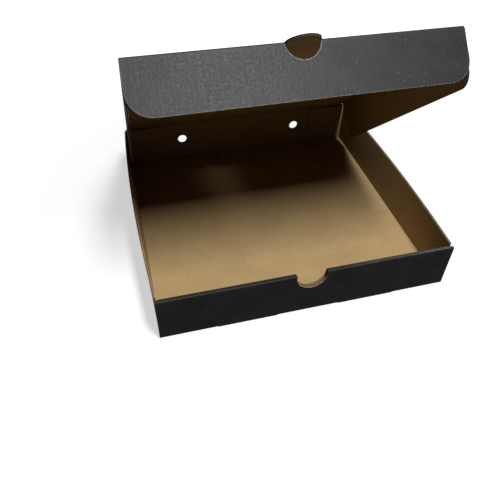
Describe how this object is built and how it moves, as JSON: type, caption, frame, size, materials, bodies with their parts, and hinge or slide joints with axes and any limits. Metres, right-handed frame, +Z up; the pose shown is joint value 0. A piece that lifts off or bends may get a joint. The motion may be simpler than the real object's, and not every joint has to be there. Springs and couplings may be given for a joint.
{
  "type": "pizza box",
  "caption": "Square pizza box folded from thin corrugated board, lid raised, with a rolled front wall, tuck flap, thumb tab and two vent holes.",
  "frame": {"origin": "centre of the tray's underside, on the surface it stands on", "axes": "+X to the box's right along the lid's crease, +Y to the back where the lid is hinged, +Z up"},
  "size_m": [0.268, 0.2524, 0.2191],
  "materials": {
    "board": "matt black printed liner",
    "kraft": "plain kraft liner",
    "cut_edge": "raw die-cut edge"
  },
  "bodies": {
    "tray": {"tray": "board"},
    "lid": {"lid": "board"},
    "front_flap": {"lid_front_flap": "board"}
  },
  "joints": [
    {"name": "lid_hinge", "type": "hinge", "parent": "tray", "child": "lid", "pos_m": [0, 0.12625, 0.0475], "axis": [-1, 0, 0], "range_deg": [-42, 148]},
    {"name": "front_flap_hinge", "type": "hinge", "parent": "lid", "child": "front_flap", "pos_m": [0, -0.05456, 0.2103], "axis": [-1, 0, 0], "range_deg": [0, 90]}
  ]
}
